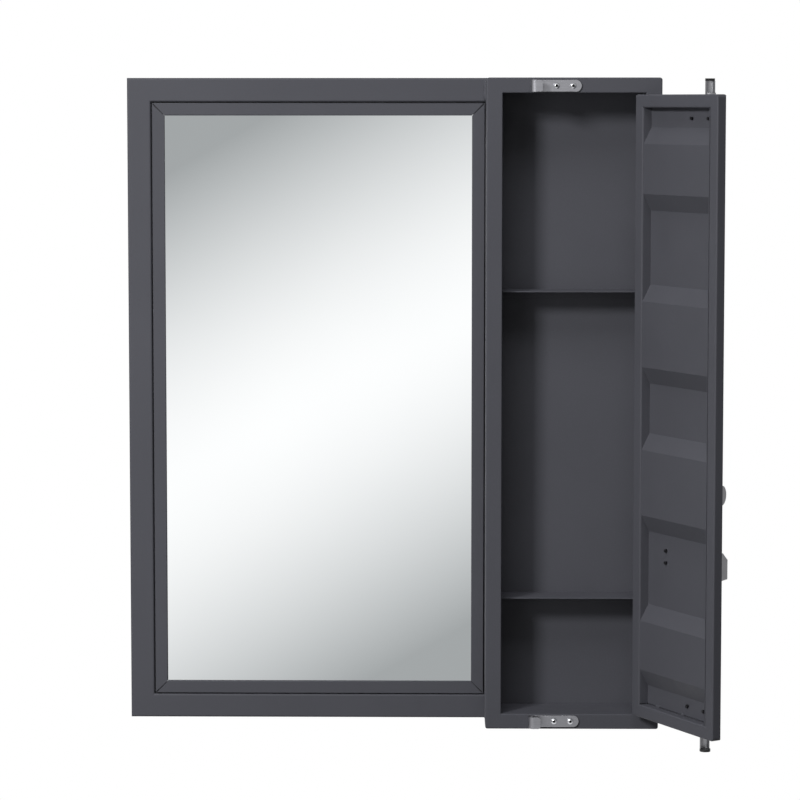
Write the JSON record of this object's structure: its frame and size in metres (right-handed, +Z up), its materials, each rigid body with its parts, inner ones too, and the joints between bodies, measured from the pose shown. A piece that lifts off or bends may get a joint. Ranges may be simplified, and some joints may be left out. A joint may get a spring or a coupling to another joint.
{
  "type": "medicine cabinet with mirror",
  "caption": "Wall-hung steel bathroom unit: a framed mirror beside a shallow shelved cabinet whose corrugated door swings open and is held shut by a turning lock rod.",
  "frame": {"origin": "midway between the centres of the two hanging keyholes' round entries, on the wall plane", "axes": "+X to the right as seen from the front, +Y into the wall, +Z up"},
  "size_m": [0.7458, 0.2527, 0.816],
  "materials": {
    "powder_coat": "gunmetal powder coat, fine satin texture",
    "powder_coat_hardware": "gunmetal powder coat on small hardware",
    "satin_steel": "satin, lightly brushed",
    "zinc_steel": "bright zinc plate",
    "black_oxide_steel": "black oxide",
    "rubber_packer": "matt",
    "mirror": "silvered glass",
    "backing_board": "brown hardboard",
    "cap_plastic": "satin black"
  },
  "bodies": {
    "cabinet": {"frame_left_stile": "powder_coat", "frame_middle_stile": "powder_coat", "frame_right_stile": "powder_coat", "frame_top_rail": "powder_coat", "frame_bottom_rail": "powder_coat", "bead_left": "powder_coat", "bead_right": "powder_coat", "bead_top": "powder_coat", "bead_bottom": "powder_coat", "cabinet_left_wall": "powder_coat", "cabinet_right_wall": "powder_coat", "cabinet_top_wall": "powder_coat", "cabinet_bottom_wall": "powder_coat", "cabinet_back_panel": "powder_coat", "upper_shelf": "powder_coat", "lower_shelf": "powder_coat", "hanger_plate_left": "powder_coat_hardware", "hanger_plate_right": "powder_coat_hardware", "fixing_plate_left": "powder_coat_hardware", "fixing_plate_right": "powder_coat_hardware", "hinge_frame_leaf_upper": "powder_coat_hardware", "hinge_frame_leaf_lower": "powder_coat_hardware", "keeper_top": "satin_steel", "keeper_bottom": "satin_steel", "keeper_screws": "zinc_steel", "hinge_pins": "zinc_steel", "hinge_frame_screws": "zinc_steel", "clip_screws": "zinc_steel", "backing_clips": "zinc_steel", "bead_gasket": "rubber_packer", "glazing_tape": "rubber_packer", "mirror_glass": "mirror", "mirror_backing": "backing_board"},
    "door": {"door_hinge_stile": "powder_coat", "door_free_stile": "powder_coat", "door_top_rail": "powder_coat", "door_bottom_rail": "powder_coat", "door_panel": "powder_coat", "hinge_door_leaf_upper": "powder_coat_hardware", "hinge_door_leaf_lower": "powder_coat_hardware", "hinge_door_screws": "zinc_steel", "rod_guide_top": "satin_steel", "rod_guide_bottom": "satin_steel", "guide_screws": "black_oxide_steel", "handle_catch": "satin_steel", "catch_screws": "black_oxide_steel"},
    "lock_rod": {"lock_rod_tube": "satin_steel", "rod_cap_top": "cap_plastic", "rod_cap_bottom": "cap_plastic", "handle_lever": "satin_steel", "finger_tab": "satin_steel", "rod_pins": "zinc_steel", "rod_collars": "satin_steel"}
  },
  "joints": [
    {"name": "door_swing", "type": "hinge", "parent": "cabinet", "child": "door", "pos_m": [0.31215, -0.0957, -0.3585], "axis": [0, 0, 1], "range_deg": [-120, 60]},
    {"name": "rod_turn", "type": "hinge", "parent": "door", "child": "lock_rod", "pos_m": [0.38216, -0.19736, -0.3585], "axis": [0, 0, -1], "range_deg": [-62, 48]}
  ]
}
